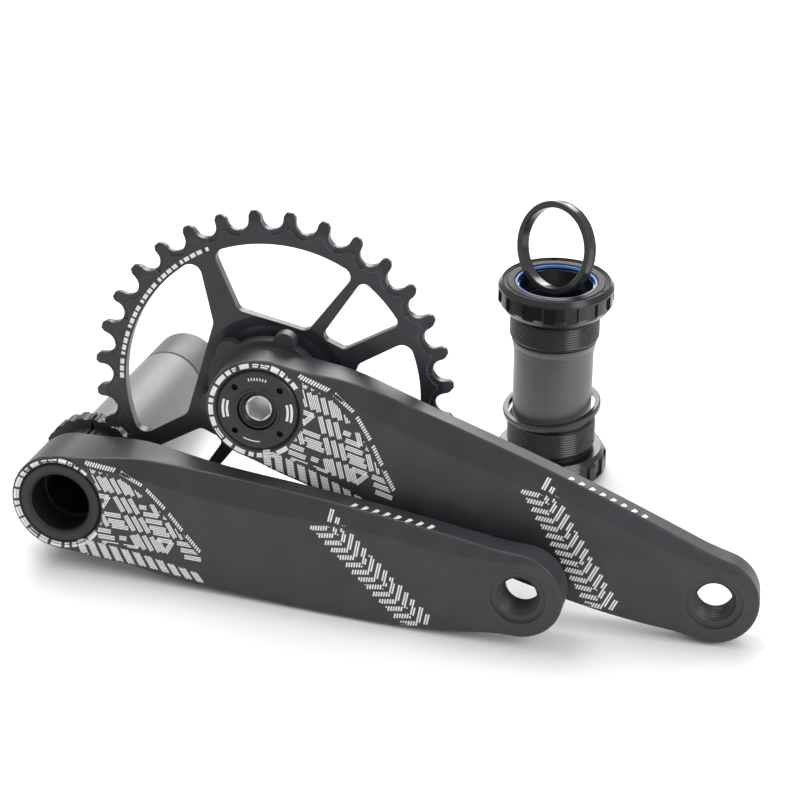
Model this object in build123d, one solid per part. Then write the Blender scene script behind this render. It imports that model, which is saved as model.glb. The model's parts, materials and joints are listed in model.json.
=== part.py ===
from build123d import *
import math
import os

# Bicycle crankset laid out in its separate units on a floor at z = 0.
# Row frame: X runs along the chainring plane towards the pedal end, Y points
# away from the outer faces of the arms, Z is up. The origin is on the floor in
# the middle of the area that the units cover. All lengths are in millimetres.

# ---------------------------------------------------------------- crank arms
CRANK_LENGTH = 175.0          # spindle axis to pedal axis
ARM_THICKNESS = 13.0          # beyond the thick end around the spindle
ARM_TAPER_END = 72.0          # where the thick end has thinned out
ARM_FLARE = 8.8               # the pedal face stands this far outside the boss face
BOSS_RADIUS = 19.0
PEDAL_END_RADIUS = 15.9
PEDAL_HOLE_RADIUS = 7.14      # major diameter of the 9/16 inch by 20 thread
PEDAL_HOLE_LEAD = 0.7
PEDAL_RECESS_RADIUS = 10.3
PEDAL_RECESS_DEPTH = 1.0
EDGE_ROUND = 1.1
BACK_BEVEL = 2.2
SECTION_HALF_WIDTH = 30.0
RUNNING_GAP = 0.03            # radial, between pieces that slide together
OVERCUT = 1.0                 # how far a cutter passes the surface it opens

# Stations along an arm: distance, half width above the centre line, half
# width below it, width of the sloping upper facet, and how far it drops back.
ARM_STATIONS = (
    (0.0, 19.0, 19.0, 2.0, 1.4),
    (14.0, 20.4, 20.0, 3.5, 2.0),
    (27.0, 22.4, 20.4, 6.0, 2.8),
    (40.0, 22.9, 21.8, 8.0, 3.0),
    (58.0, 22.8, 22.6, 9.5, 3.0),
    (85.0, 22.2, 22.6, 9.0, 3.0),
    (110.0, 21.2, 22.0, 7.2, 2.8),
    (140.0, 18.9, 20.2, 6.4, 2.4),
    (160.0, 16.8, 17.4, 4.6, 2.0),
    (175.0, 15.9, 15.9, 2.4, 1.6),
)

# --------------------------------------------------------------- drive crank
DRIVE_FACE = 24.0             # outer face of the boss, outside the chainring plane
DRIVE_BOSS_THICKNESS = 19.6
DRIVE_STUB_RADIUS = 19.6      # carries the chainring
DRIVE_STUB_END = 2.6
DRIVE_FLANGE_RADIUS = 21.6
DRIVE_FLANGE_THICKNESS = 5.0
LOBE_COUNT = 6
LOBE_RADIUS = 4.3
LOBE_CENTRES = 21.3
LOBE_START_ANGLE = 151.0      # from the arm's own direction

CAP_RADIUS = 15.05
CAP_LENGTH = 4.7
CAP_PLATE = 3.1
CAP_BORE_RADIUS = 7.45
CAP_RING_RADIUS = 8.6
CAP_RING_HEIGHT = 0.5
CAP_SEAT_BEVEL = 0.9
CAP_CAVITY_RADIUS = 10.6
CAP_PIN_HOLE_RADIUS = 1.2
CAP_PIN_HOLE_CENTRES = 11.7
CAP_PIN_HOLES = 4
CAP_PIN_HOLE_DEPTH = 2.4

BOLT_NOSE_RADIUS = 7.38
BOLT_FLANGE_RADIUS = 9.8
BOLT_FLANGE_THICKNESS = 1.8
BOLT_SHANK_RADIUS = 7.2
BOLT_SHANK_END = 1.0
BOLT_HEX = 8.0                # across the flats of the socket
BOLT_HEX_DEPTH = 8.5
BOLT_TOP = 0.5                # below the cap's face
BOLT_MOUTH_RADIUS = 6.2
BOLT_HOLE_CLEARANCE = 0.3
WASHER_GAP = 0.15
WASHER_THICKNESS = 1.2
WASHER_RADIUS = 12.5
WEB_THICKNESS = 2.0

# ----------------------------------------------------------------- chainring
TOOTH_COUNT = 32
CHAIN_PITCH = 12.7
ROLLER_SEAT_RADIUS = 4.05
TOOTH_TIP_RADIUS = 67.5
TOOTH_ROOT_RADIUS = 57.0      # inside the thick rim
RIM_INNER_RADIUS = 55.5
RIM_THICKNESS = 4.0
NARROW_TOOTH = 2.1
WIDE_TOOTH = 3.7
TIP_THICKNESS = 1.2
TOOTH_BEVEL_DEPTH = 5.0
TOOTH_PHASE = 1.0
RIM_CREST_RADIUS = 61.6
RIM_STEP = 2.0                # from a roller's seat down to the thick rim
MOUNT_HOLE_CLEARANCE = 0.02
HUB_DISH_RADIUS = 28.5
HUB_DISH_FLOOR_RADIUS = 24.5
HUB_DISH_DEPTH = 0.9
# Windows, each found twice, half a turn apart. Angles count from the arm's
# own direction: where the window meets the rim first, its inner corners as
# (radius, angle), where it meets the rim last, and its corner rounding.
WINDOWS = (
    (49.2, ((32.3, 51.2), (28.3, 68.0)), 71.1, 2.6),
    (74.5, ((26.7, 78.6), (32.1, 130.7)), 131.1, 3.6),
    (137.5, ((32.4, 150.2), (34.5, 219.2)), 222.6, 4.2),
)
RING_BOLT_CENTRES = 22.9
RING_BOLT_COUNT = 3
RING_BOLT_RADIUS = 1.9
RING_BOLT_HEAD_RADIUS = 2.4
RING_BOLT_HEAD = 1.8
RING_BOLT_SOCKET_RADIUS = 1.3
RING_BOLT_HEAD_SEAT = 0.8
RING_BOLT_SOCKET_FLOOR = 0.4

# ---------------------------------------------------------- non-drive crank
PLAIN_BOSS_THICKNESS = 24.5
SPINDLE_RADIUS = 14.495
SPINDLE_LENGTH = 141.5
SPINDLE_COLLAR_RADIUS = 15.6
SPINDLE_COLLAR_LENGTH = 3.5
SPINDLE_MOUTH_RADIUS = 11.35
SPINDLE_MOUTH_DEPTH = 13.0
SPINDLE_BORE_RADIUS = 10.4
SPINDLE_NUT_RADIUS = 7.3
SPINDLE_NUT_LENGTH = 22.0
SPINDLE_GROOVE = 24.5         # from the free end
SPINDLE_GROOVE_WIDTH = 1.3
SPINDLE_GROOVE_DEPTH = 0.45
SPINDLE_END_BEVEL = 1.2
JOURNAL_START = 46.0          # a run-out groove ends the adjuster's seat here
JOURNAL_GROOVE_WIDTH = 1.0
BOND_GAP = 0.02

ADJUSTER_BORE_RADIUS = 14.56
ADJUSTER_START = 25.0
ADJUSTER_BAND_RADIUS = 16.3
ADJUSTER_BAND_LENGTH = 7.6
ADJUSTER_FLANGE_RADIUS = 20.4
ADJUSTER_FLANGE_LENGTH = 6.6
ADJUSTER_SCALLOPS = 24
ADJUSTER_TEETH = 40
ADJUSTER_SLIT = 1.2
PINCH_SCREW_RADIUS = 1.25
PINCH_SCREW_CENTRE = 17.5
PINCH_SCREW_LENGTH = 9.0
PINCH_HEAD_RADIUS = 2.1
PINCH_HEAD_LENGTH = 2.0
PRELOAD_WASHER_RADIUS = 18.4
PRELOAD_WASHER_THICKNESS = 1.6

# ------------------------------------------------------------ bottom bracket
CUP_FLANGE_RADIUS = 22.7
CUP_FLANGE_HEIGHT = 11.2
CUP_TAPER_START = 8.0
CUP_TAPER_RADIUS = 20.6
CUP_THREAD_RADIUS = 17.4      # 1.37 inch by 24 threads to the inch
CUP_LENGTH = 24.1
CUP_NOTCHES = 16
CUP_NOTCH_WIDTH = 5.0
CUP_NOTCH_DEPTH = 1.0
CUP_NOTCH_START = 2.6
CUP_NOTCH_END = 9.4
CUP_SEAT_DEPTH = 9.5
CUP_SLEEVE_STOP = 15.6
CUP_BORE_RADIUS = 15.2
BEARING_OUTER_RADIUS = 21.0
BEARING_BORE_RADIUS = 14.55
BEARING_WIDTH = 7.0
BEARING_START = 2.4
RACE_OUTER_LAND = 18.75
RACE_INNER_LAND = 16.85
BALL_RADIUS = 1.6
BALL_COUNT = 20
BALL_PLAY = 0.05
SHIELD_THICKNESS = 0.4
COVER_THICKNESS = 1.7
COVER_INNER_RADIUS = 16.0
SEAL_LIP_RADIUS = 14.9
SEAL_START = 0.9
TOP_FACE = 83.6               # top of the upright bottom bracket
SLEEVE_RADIUS = 15.8
SLEEVE_WALL = 0.85
SLEEVE_BOTTOM = 16.3
SLEEVE_TOP = 68.0
SLEEVE_COLLAR_TOP = 59.3
SLEEVE_COLLAR_BOTTOM = 55.3
SLEEVE_COLLAR_RADIUS = 16.9
SHELL_SPACER_OUTER = 19.7
SHELL_SPACER_INNER = 17.6
SHELL_SPACER_THICKNESS = 2.5
SPINDLE_SPACER_OUTER = 18.2
SPINDLE_SPACER_INNER = 15.6
SPINDLE_SPACER_WIDTH = 4.8

# -------------------------------------------------------- how the units lie
DRIVE_LEAN = 6.4             # the chainring's top leans back
DRIVE_SLOPE = 18.0            # the arm points down to its pedal end
DRIVE_CENTRE = (-44.23, -28.83, 67.15)
PLAIN_YAW = 4.0
PLAIN_LEAN = 4.4
PLAIN_SLOPE = 2.6
PLAIN_FACE_CENTRE = (-119.23, -59.53, 27.35)
BRACKET_AXIS = (51.07, 49.17)
SHELL_SPACER_HEIGHT = 28.3
SHELL_SPACER_TILT = 8.0
SHELL_SPACER_TURN = 30.0
SPINDLE_SPACER_CENTRE = (50.2, 51.17, 96.2)
SPINDLE_SPACER_LEAN = 12.6
SPINDLE_SPACER_TURN = -35.0

drive_place = Pos(*DRIVE_CENTRE) * Rot(X=-DRIVE_LEAN) * Rot(Y=DRIVE_SLOPE)
plain_place = Pos(*PLAIN_FACE_CENTRE) * Rot(Z=-PLAIN_YAW) * Rot(X=-PLAIN_LEAN) * Rot(Y=PLAIN_SLOPE)
upper_cup_place = Pos(*BRACKET_AXIS, TOP_FACE) * Rot(X=180)
lower_cup_place = Pos(*BRACKET_AXIS, 0)


# ------------------------------------------------------------ shared helpers
def rod(radius, start, end, x=0.0, z=0.0):
    """A cylinder along Y from start to end."""
    return Pos(x, (start + end) / 2, z) * Rot(X=90) * Cylinder(radius, end - start)


def turned_y(points):
    """A ring turned about Y from (radius, y) points."""
    outline = Plane.XY * make_face(Polyline(*points, close=True))
    return revolve(outline, Axis.Y)


def turned_z(points):
    """A ring turned about Z from (radius, z) points."""
    outline = Plane.XZ * make_face(Polyline(*points, close=True))
    return revolve(outline, Axis.Z)


def ring_y(outer, inner, start, end):
    return turned_y(((inner, start), (outer, start), (outer, end), (inner, end)))


def ring_z(outer, inner, start, end):
    return turned_z(((inner, start), (outer, start), (outer, end), (inner, end)))


def around_y(radius, angle):
    """The x and z of a point on a circle about Y, counted up from +X."""
    turn = math.radians(angle)
    return radius * math.cos(turn), radius * math.sin(turn)


def hex_hole(across_flats, start, depth):
    """A hexagonal socket cutter along Y."""
    corner = across_flats / math.sqrt(3)
    outline = Pos(0, start, 0) * Rot(X=-90) * RegularPolygon(corner, 6)
    return extrude(outline, depth)


# ----------------------------------------------------------------- arm blank
def arm_flare(along):
    share = min(max(along / CRANK_LENGTH, 0.0), 1.0)
    return ARM_FLARE * share * share * (3 - 2 * share)


def arm_thickness(along, boss_thickness):
    share = min(max(along / ARM_TAPER_END, 0.0), 1.0)
    fade = 0.5 + 0.5 * math.cos(math.pi * share)
    return ARM_THICKNESS + (boss_thickness - ARM_THICKNESS) * fade


def arm_outline():
    """The arm seen from outside: two round ends joined by smooth long edges."""
    level = ((1, 0), (1, 0))
    upper = Spline([(along, above) for along, above, *_ in ARM_STATIONS], tangents=level)
    lower = Spline([(along, -below) for along, _, below, *_ in ARM_STATIONS], tangents=level)
    boss = ThreePointArc((0, BOSS_RADIUS), (-BOSS_RADIUS, 0), (0, -BOSS_RADIUS))
    tip = CRANK_LENGTH + PEDAL_END_RADIUS
    end = ThreePointArc((CRANK_LENGTH, PEDAL_END_RADIUS), (tip, 0), (CRANK_LENGTH, -PEDAL_END_RADIUS))
    return make_face([upper, end, lower, boss])


def arm_section(station, face, boss_thickness):
    """The front, sloping facet and back of the arm, wider than its outline."""
    along, above, _, facet, drop = station
    front = face - arm_flare(along)
    back = front + arm_thickness(along, boss_thickness)
    crease = above - facet
    far = front + drop / facet * (SECTION_HALF_WIDTH - crease)
    section = make_face(Polyline(
        (far, SECTION_HALF_WIDTH), (front, crease), (front, -SECTION_HALF_WIDTH),
        (back, -SECTION_HALF_WIDTH), (back, SECTION_HALF_WIDTH), close=True,
    ))
    return Plane(origin=(along, 0, 0), x_dir=(0, 1, 0), z_dir=(1, 0, 0)) * section


def arm_blank(face, boss_thickness):
    first, last = ARM_STATIONS[0], ARM_STATIONS[-1]
    stations = ((-24.0, *first[1:]), *ARM_STATIONS, (CRANK_LENGTH + 20.0, *last[1:]))
    body = loft([arm_section(station, face, boss_thickness) for station in stations])
    outline = Pos(0, 50, 0) * Rot(X=90) * arm_outline()
    blank = body & extrude(outline, 100)
    blank = chamfer(surface_edges(blank, face, boss_thickness, True), BACK_BEVEL)
    return fillet(surface_edges(blank, face, boss_thickness, False), EDGE_ROUND)


def surface_edges(blank, face, boss_thickness, at_back):
    """The long curved edges on the arm's back, or those on its front."""
    chosen = []
    for edge in blank.edges():
        middle = edge.position_at(0.5)
        depth = middle.Y - face + arm_flare(middle.X)
        thickness = arm_thickness(middle.X, boss_thickness)
        is_near = abs(depth - thickness) < 0.6 if at_back else depth < 4.2
        if edge.geom_type != GeomType.LINE and is_near:
            chosen.append(edge)
    return chosen


def pedal_hole(face):
    """The pedal thread's bore with its recess and lead-in bevels."""
    front = face - ARM_FLARE
    back = front + ARM_THICKNESS
    inside = front + PEDAL_RECESS_DEPTH
    mouth = PEDAL_HOLE_RADIUS + PEDAL_HOLE_LEAD
    return Pos(CRANK_LENGTH, 0, 0) * turned_y((
        (0, front - OVERCUT), (PEDAL_RECESS_RADIUS, front - OVERCUT), (PEDAL_RECESS_RADIUS, inside),
        (mouth, inside), (PEDAL_HOLE_RADIUS, inside + PEDAL_HOLE_LEAD),
        (PEDAL_HOLE_RADIUS, back - PEDAL_HOLE_LEAD), (mouth, back),
        (mouth, back + OVERCUT), (0, back + OVERCUT),
    ))


# --------------------------------------------------------------- drive crank
def bolt_angles():
    step = 360 / RING_BOLT_COUNT
    return [LOBE_START_ANGLE + 60 + step * index for index in range(RING_BOLT_COUNT)]


def drive_arm():
    face = -DRIVE_FACE
    back = face + DRIVE_BOSS_THICKNESS
    flange_start = back - DRIVE_FLANGE_THICKNESS
    arm = arm_blank(face, DRIVE_BOSS_THICKNESS)
    flange = rod(DRIVE_FLANGE_RADIUS, flange_start, back)
    for index in range(LOBE_COUNT):
        x, z = around_y(LOBE_CENTRES, LOBE_START_ANGLE + 360 / LOBE_COUNT * index)
        flange += rod(LOBE_RADIUS, flange_start, back, x, z)
    arm += flange
    arm += rod(DRIVE_STUB_RADIUS, back, DRIVE_STUB_END)
    web = face + CAP_LENGTH + WASHER_GAP + WASHER_THICKNESS + WASHER_GAP
    seat = CAP_RADIUS + RUNNING_GAP
    arm -= turned_y((
        (0, face - OVERCUT), (seat + CAP_SEAT_BEVEL, face - OVERCUT), (seat + CAP_SEAT_BEVEL, face),
        (seat, face + CAP_SEAT_BEVEL), (seat, web), (0, web),
    ))
    arm -= rod(BOLT_SHANK_RADIUS + BOLT_HOLE_CLEARANCE, web - OVERCUT, web + WEB_THICKNESS + OVERCUT)
    arm -= rod(SPINDLE_RADIUS + RUNNING_GAP, web + WEB_THICKNESS, DRIVE_STUB_END + OVERCUT)
    for angle in bolt_angles():
        x, z = around_y(RING_BOLT_CENTRES, angle)
        arm -= rod(RING_BOLT_RADIUS, flange_start + RING_BOLT_HEAD_SEAT, back + OVERCUT, x, z)
    return arm - pedal_hole(face)


def pitch_radius():
    return CHAIN_PITCH / (2 * math.sin(math.pi / TOOTH_COUNT))


def roller_gap():
    """The space between two teeth, lying along +X at the pitch circle."""
    pitch = pitch_radius()
    seat = Pos(pitch, 0) * Circle(ROLLER_SEAT_RADIUS)
    flanks = make_face(Polyline(
        (pitch, -ROLLER_SEAT_RADIUS), (pitch + 1.2, -4.2), (TOOTH_TIP_RADIUS, -5.3),
        (TOOTH_TIP_RADIUS + 1.5, -5.9), (TOOTH_TIP_RADIUS + 1.5, 7.6), (TOOTH_TIP_RADIUS, 6.3),
        (pitch + 1.2, 4.5), (pitch, ROLLER_SEAT_RADIUS), close=True,
    ))
    return seat + flanks


def tooth_outline():
    outline = Circle(TOOTH_TIP_RADIUS) - Circle(TOOTH_ROOT_RADIUS)
    step = 360 / TOOTH_COUNT
    for index in range(TOOTH_COUNT):
        outline -= Rot(Z=TOOTH_PHASE + step * (index + 0.5)) * roller_gap()
    return outline


def rim_outline():
    """The thick rim ends in a wavy edge that follows the roller seats."""
    outline = Circle(RIM_CREST_RADIUS) - Circle(RIM_INNER_RADIUS)
    step = 360 / TOOTH_COUNT
    for index in range(TOOTH_COUNT):
        seat = Pos(pitch_radius(), 0) * Circle(ROLLER_SEAT_RADIUS + RIM_STEP)
        outline -= Rot(Z=TOOTH_PHASE + step * (index + 0.5)) * seat
    return outline


def window_outline(window):
    """A window's outline: the rim's arc and the straight edges of two spokes."""
    first, corners, last, rounding = window
    arc = CenterArc((0, 0), RIM_INNER_RADIUS, first, last - first)
    inner = [around_y(radius, angle) for radius, angle in corners]
    edges = Polyline(arc @ 0, *inner, arc @ 1)
    outline = make_face([arc, edges])
    return fillet(outline.vertices(), rounding)


def web_outline():
    """Hub and spokes, out to the rim, with the windows cut out."""
    outline = Circle(RIM_INNER_RADIUS + 0.6) - Circle(DRIVE_STUB_RADIUS + MOUNT_HOLE_CLEARANCE)
    for window in WINDOWS:
        for turn in (0, 180):
            outline -= Rot(Z=turn) * window_outline(window)
    return outline


def upright(outline, thickness):
    """Stands a flat outline up in the chainring plane."""
    return extrude(Rot(X=90) * outline, thickness / 2, both=True)


def wide_tooth_sectors():
    """Radial strips that cover every second tooth."""
    length = TOOTH_TIP_RADIUS - RIM_INNER_RADIUS + 5
    strip = Pos(RIM_INNER_RADIUS + length / 2, 0) * Rectangle(length, CHAIN_PITCH - 2)
    step = 360 / TOOTH_COUNT
    sectors = Sketch()
    for index in range(0, TOOTH_COUNT, 2):
        sectors += Rot(Z=TOOTH_PHASE + step * index) * strip
    return sectors


def chainring():
    teeth = tooth_outline()
    ring = upright(teeth, NARROW_TOOTH)
    ring += upright(teeth & wide_tooth_sectors(), WIDE_TOOTH)
    root = TOOTH_TIP_RADIUS - TOOTH_BEVEL_DEPTH
    mouth = TOOTH_TIP_RADIUS + 0.2
    half, tip = RIM_THICKNESS / 2 + 0.25, TIP_THICKNESS / 2
    ring = ring & turned_y((
        (0, -RIM_THICKNESS), (root, -half), (mouth, -tip),
        (mouth, tip), (root, half), (0, RIM_THICKNESS),
    ))
    ring += upright(rim_outline() + web_outline(), RIM_THICKNESS)
    front = -RIM_THICKNESS / 2
    ring -= turned_y((
        (0, front - OVERCUT), (HUB_DISH_RADIUS, front - OVERCUT), (HUB_DISH_RADIUS, front),
        (HUB_DISH_FLOOR_RADIUS, front + HUB_DISH_DEPTH), (0, front + HUB_DISH_DEPTH),
    ))
    seat = RIM_THICKNESS / 2 - RING_BOLT_HEAD_SEAT
    for angle in bolt_angles():
        x, z = around_y(RING_BOLT_CENTRES, angle)
        ring -= rod(RING_BOLT_RADIUS + 0.1, -RIM_THICKNESS, RIM_THICKNESS, x, z)
        ring -= rod(RING_BOLT_HEAD_RADIUS + 0.1, seat, RIM_THICKNESS, x, z)
    return ring


def chainring_bolts():
    seat = RIM_THICKNESS / 2 - RING_BOLT_HEAD_SEAT
    flange_start = -DRIVE_FACE + DRIVE_BOSS_THICKNESS - DRIVE_FLANGE_THICKNESS
    tip = flange_start + RING_BOLT_HEAD_SEAT + 0.2
    floor = seat + RING_BOLT_SOCKET_FLOOR
    bolts = []
    for angle in bolt_angles():
        x, z = around_y(RING_BOLT_CENTRES, angle)
        bolt = rod(RING_BOLT_RADIUS - 0.02, tip, seat, x, z)
        bolt += rod(RING_BOLT_HEAD_RADIUS, seat, seat + RING_BOLT_HEAD, x, z)
        bolt -= rod(RING_BOLT_SOCKET_RADIUS, floor, seat + RING_BOLT_HEAD + OVERCUT, x, z)
        bolts.append(bolt)
    return Compound(children=bolts)


def extractor_cap():
    face = -DRIVE_FACE
    cap = turned_y((
        (CAP_BORE_RADIUS, face - CAP_RING_HEIGHT), (CAP_RING_RADIUS - 0.3, face - CAP_RING_HEIGHT),
        (CAP_RING_RADIUS, face), (CAP_RADIUS - 0.6, face), (CAP_RADIUS, face + 0.6),
        (CAP_RADIUS, face + CAP_LENGTH), (CAP_CAVITY_RADIUS, face + CAP_LENGTH),
        (CAP_CAVITY_RADIUS, face + CAP_PLATE), (CAP_BORE_RADIUS, face + CAP_PLATE),
    ))
    for index in range(CAP_PIN_HOLES):
        x, z = around_y(CAP_PIN_HOLE_CENTRES, 45 + DRIVE_SLOPE + 90 * index)
        cap -= rod(CAP_PIN_HOLE_RADIUS, face - OVERCUT, face + CAP_PIN_HOLE_DEPTH, x, z)
    return cap


def crank_bolt():
    top = -DRIVE_FACE + BOLT_TOP
    flange = -DRIVE_FACE + CAP_PLATE + 0.1
    under = flange + BOLT_FLANGE_THICKNESS - 0.2
    bolt = turned_y((
        (0, top), (BOLT_NOSE_RADIUS - 0.5, top), (BOLT_NOSE_RADIUS, top + 0.5),
        (BOLT_NOSE_RADIUS, flange), (BOLT_FLANGE_RADIUS, flange), (BOLT_FLANGE_RADIUS, under),
        (BOLT_SHANK_RADIUS, under), (BOLT_SHANK_RADIUS, BOLT_SHANK_END - 1),
        (BOLT_SHANK_RADIUS - 1, BOLT_SHANK_END), (0, BOLT_SHANK_END),
    ))
    corner = BOLT_HEX / math.sqrt(3)
    bolt -= turned_y((
        (0, top - OVERCUT), (BOLT_MOUTH_RADIUS, top - OVERCUT), (BOLT_MOUTH_RADIUS, top + 0.9),
        (corner + 0.13, top + 2.0), (0, top + 2.0),
    ))
    return bolt - hex_hole(BOLT_HEX, top, BOLT_HEX_DEPTH)


def bolt_washer():
    start = -DRIVE_FACE + CAP_LENGTH + WASHER_GAP
    inner = BOLT_SHANK_RADIUS + BOLT_HOLE_CLEARANCE
    return ring_y(WASHER_RADIUS, inner, start, start + WASHER_THICKNESS)


# ----------------------------------------------------------- non-drive crank
def non_drive_arm():
    arm = arm_blank(0.0, PLAIN_BOSS_THICKNESS)
    arm -= turned_y((
        (0, -1), (SPINDLE_COLLAR_RADIUS + 1.3, -1), (SPINDLE_COLLAR_RADIUS + 1.3, 0),
        (SPINDLE_COLLAR_RADIUS + BOND_GAP, 1.3), (SPINDLE_COLLAR_RADIUS + BOND_GAP, SPINDLE_COLLAR_LENGTH),
        (SPINDLE_RADIUS + BOND_GAP, SPINDLE_COLLAR_LENGTH),
        (SPINDLE_RADIUS + BOND_GAP, PLAIN_BOSS_THICKNESS + 1), (0, PLAIN_BOSS_THICKNESS + 1),
    ))
    return arm - pedal_hole(0.0)


def spindle():
    end = SPINDLE_LENGTH
    groove = end - SPINDLE_GROOVE
    neck = SPINDLE_RADIUS - SPINDLE_GROOVE_DEPTH
    nut = end - SPINDLE_NUT_LENGTH
    return turned_y((
        (SPINDLE_MOUTH_RADIUS + 0.7, 0.3), (SPINDLE_COLLAR_RADIUS - 0.5, 0.3),
        (SPINDLE_COLLAR_RADIUS, 0.8), (SPINDLE_COLLAR_RADIUS, SPINDLE_COLLAR_LENGTH),
        (SPINDLE_RADIUS, SPINDLE_COLLAR_LENGTH), (SPINDLE_RADIUS, JOURNAL_START - JOURNAL_GROOVE_WIDTH),
        (neck, JOURNAL_START - JOURNAL_GROOVE_WIDTH), (neck, JOURNAL_START),
        (SPINDLE_RADIUS, JOURNAL_START), (SPINDLE_RADIUS, groove),
        (neck, groove + 0.3), (neck, groove + SPINDLE_GROOVE_WIDTH - 0.3),
        (SPINDLE_RADIUS, groove + SPINDLE_GROOVE_WIDTH), (SPINDLE_RADIUS, end - SPINDLE_END_BEVEL),
        (SPINDLE_RADIUS - SPINDLE_END_BEVEL, end), (SPINDLE_NUT_RADIUS + 1, end),
        (SPINDLE_NUT_RADIUS, end - 1), (SPINDLE_NUT_RADIUS, nut), (SPINDLE_BORE_RADIUS, nut - 3),
        (SPINDLE_BORE_RADIUS, SPINDLE_MOUTH_DEPTH), (SPINDLE_MOUTH_RADIUS, SPINDLE_MOUTH_DEPTH),
        (SPINDLE_MOUTH_RADIUS, 1.0),
    ))


def pinch_screw_line():
    """Where the pinch screw crosses the adjuster's slit, near its top."""
    flange = ADJUSTER_START + ADJUSTER_BAND_LENGTH
    return flange + ADJUSTER_FLANGE_LENGTH / 2, PINCH_SCREW_CENTRE


def preload_adjuster():
    start = ADJUSTER_START
    flange = start + ADJUSTER_BAND_LENGTH
    end = flange + ADJUSTER_FLANGE_LENGTH
    adjuster = rod(ADJUSTER_BAND_RADIUS, start, flange)
    for index in range(ADJUSTER_TEETH):
        x, z = around_y(ADJUSTER_BAND_RADIUS, 360 / ADJUSTER_TEETH * index)
        adjuster -= rod(0.45, start + 0.8, flange - 0.6, x, z)
    grip = rod(ADJUSTER_FLANGE_RADIUS, flange, end)
    for index in range(ADJUSTER_SCALLOPS):
        x, z = around_y(ADJUSTER_FLANGE_RADIUS + 1.3, 360 / ADJUSTER_SCALLOPS * (index + 0.5))
        grip -= rod(2.0, flange - 1, end + 1, x, z)
    adjuster += grip
    adjuster -= rod(ADJUSTER_BORE_RADIUS, start - 1, end + 1)
    middle, height = pinch_screw_line()
    slit = Pos(0, (start + end) / 2, height) * Box(ADJUSTER_SLIT, end - start + 2, 12)
    screw_hole = Pos(0, middle, height) * Rot(Y=90) * Cylinder(PINCH_SCREW_RADIUS + 0.05, PINCH_SCREW_LENGTH)
    head_hole = Pos(6.5, middle, height) * Rot(Y=90) * Cylinder(PINCH_HEAD_RADIUS + 0.1, 7.0)
    return adjuster - slit - screw_hole - head_hole


def pinch_screw():
    middle, height = pinch_screw_line()
    shank = Pos(-0.6, middle, height) * Rot(Y=90) * Cylinder(PINCH_SCREW_RADIUS, PINCH_SCREW_LENGTH - 1.6)
    head = Pos(3.1 + PINCH_HEAD_LENGTH / 2, middle, height) * Rot(Y=90)
    screw = shank + head * Cylinder(PINCH_HEAD_RADIUS, PINCH_HEAD_LENGTH)
    socket = Pos(3.1 + PINCH_HEAD_LENGTH, middle, height) * Rot(Y=90) * RegularPolygon(0.9, 6)
    return screw - extrude(socket, 1.2, both=True)


def preload_washer():
    start = ADJUSTER_START + ADJUSTER_BAND_LENGTH + ADJUSTER_FLANGE_LENGTH + 0.1
    return ring_y(PRELOAD_WASHER_RADIUS, ADJUSTER_BORE_RADIUS, start, start + PRELOAD_WASHER_THICKNESS)


# ------------------------------------------------------------ bottom bracket
def bracket_cup(is_upper):
    """A threaded cup with its outer face at z = 0 and its thread above it."""
    bore = SLEEVE_RADIUS + (BOND_GAP if is_upper else 0.3)
    cup = turned_z((
        (BEARING_OUTER_RADIUS + BOND_GAP, 0), (CUP_FLANGE_RADIUS - 1.6, 0),
        (CUP_FLANGE_RADIUS, 2.0), (CUP_FLANGE_RADIUS, CUP_TAPER_START),
        (CUP_TAPER_RADIUS, CUP_FLANGE_HEIGHT), (CUP_THREAD_RADIUS - 0.7, CUP_FLANGE_HEIGHT),
        (CUP_THREAD_RADIUS - 0.7, CUP_FLANGE_HEIGHT + 1.0), (CUP_THREAD_RADIUS, CUP_FLANGE_HEIGHT + 1.7),
        (CUP_THREAD_RADIUS, CUP_LENGTH - 0.8), (CUP_THREAD_RADIUS - 0.8, CUP_LENGTH),
        (bore, CUP_LENGTH), (bore, CUP_SLEEVE_STOP), (CUP_BORE_RADIUS, CUP_SLEEVE_STOP),
        (CUP_BORE_RADIUS, CUP_SEAT_DEPTH + 1.2), (RACE_OUTER_LAND, CUP_SEAT_DEPTH + 0.4),
        (RACE_OUTER_LAND, CUP_SEAT_DEPTH), (BEARING_OUTER_RADIUS + BOND_GAP, CUP_SEAT_DEPTH),
    ))
    depth = CUP_FLANGE_RADIUS - CUP_NOTCH_DEPTH
    tall = CUP_NOTCH_END - CUP_NOTCH_START
    for index in range(CUP_NOTCHES):
        notch = Pos(depth + 5, 0, CUP_NOTCH_START + tall / 2 + 5) * Box(10, CUP_NOTCH_WIDTH, tall + 10)
        limit = ring_z(CUP_FLANGE_RADIUS + 5, depth, CUP_NOTCH_START, CUP_FLANGE_HEIGHT + 1)
        cup -= Rot(Z=360 / CUP_NOTCHES * index) * (notch & limit)
    return cup


def race_groove():
    return Pos(0, 0, BEARING_START + BEARING_WIDTH / 2) * Torus(ball_circle(), BALL_RADIUS + BALL_PLAY)


def ball_circle():
    return (RACE_OUTER_LAND + RACE_INNER_LAND) / 2


def bearing_outer_race():
    end = BEARING_START + BEARING_WIDTH
    return ring_z(BEARING_OUTER_RADIUS, RACE_OUTER_LAND, BEARING_START, end) - race_groove()


def bearing_inner_race():
    end = BEARING_START + BEARING_WIDTH
    return ring_z(RACE_INNER_LAND, BEARING_BORE_RADIUS, BEARING_START, end) - race_groove()


def ball_places(radius):
    middle = BEARING_START + BEARING_WIDTH / 2
    spots = [Rot(Z=360 / BALL_COUNT * index) * Pos(ball_circle(), 0, middle) for index in range(BALL_COUNT)]
    return [spot * Sphere(radius) for spot in spots]


def bearing_balls():
    return Compound(children=ball_places(BALL_RADIUS))


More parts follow.
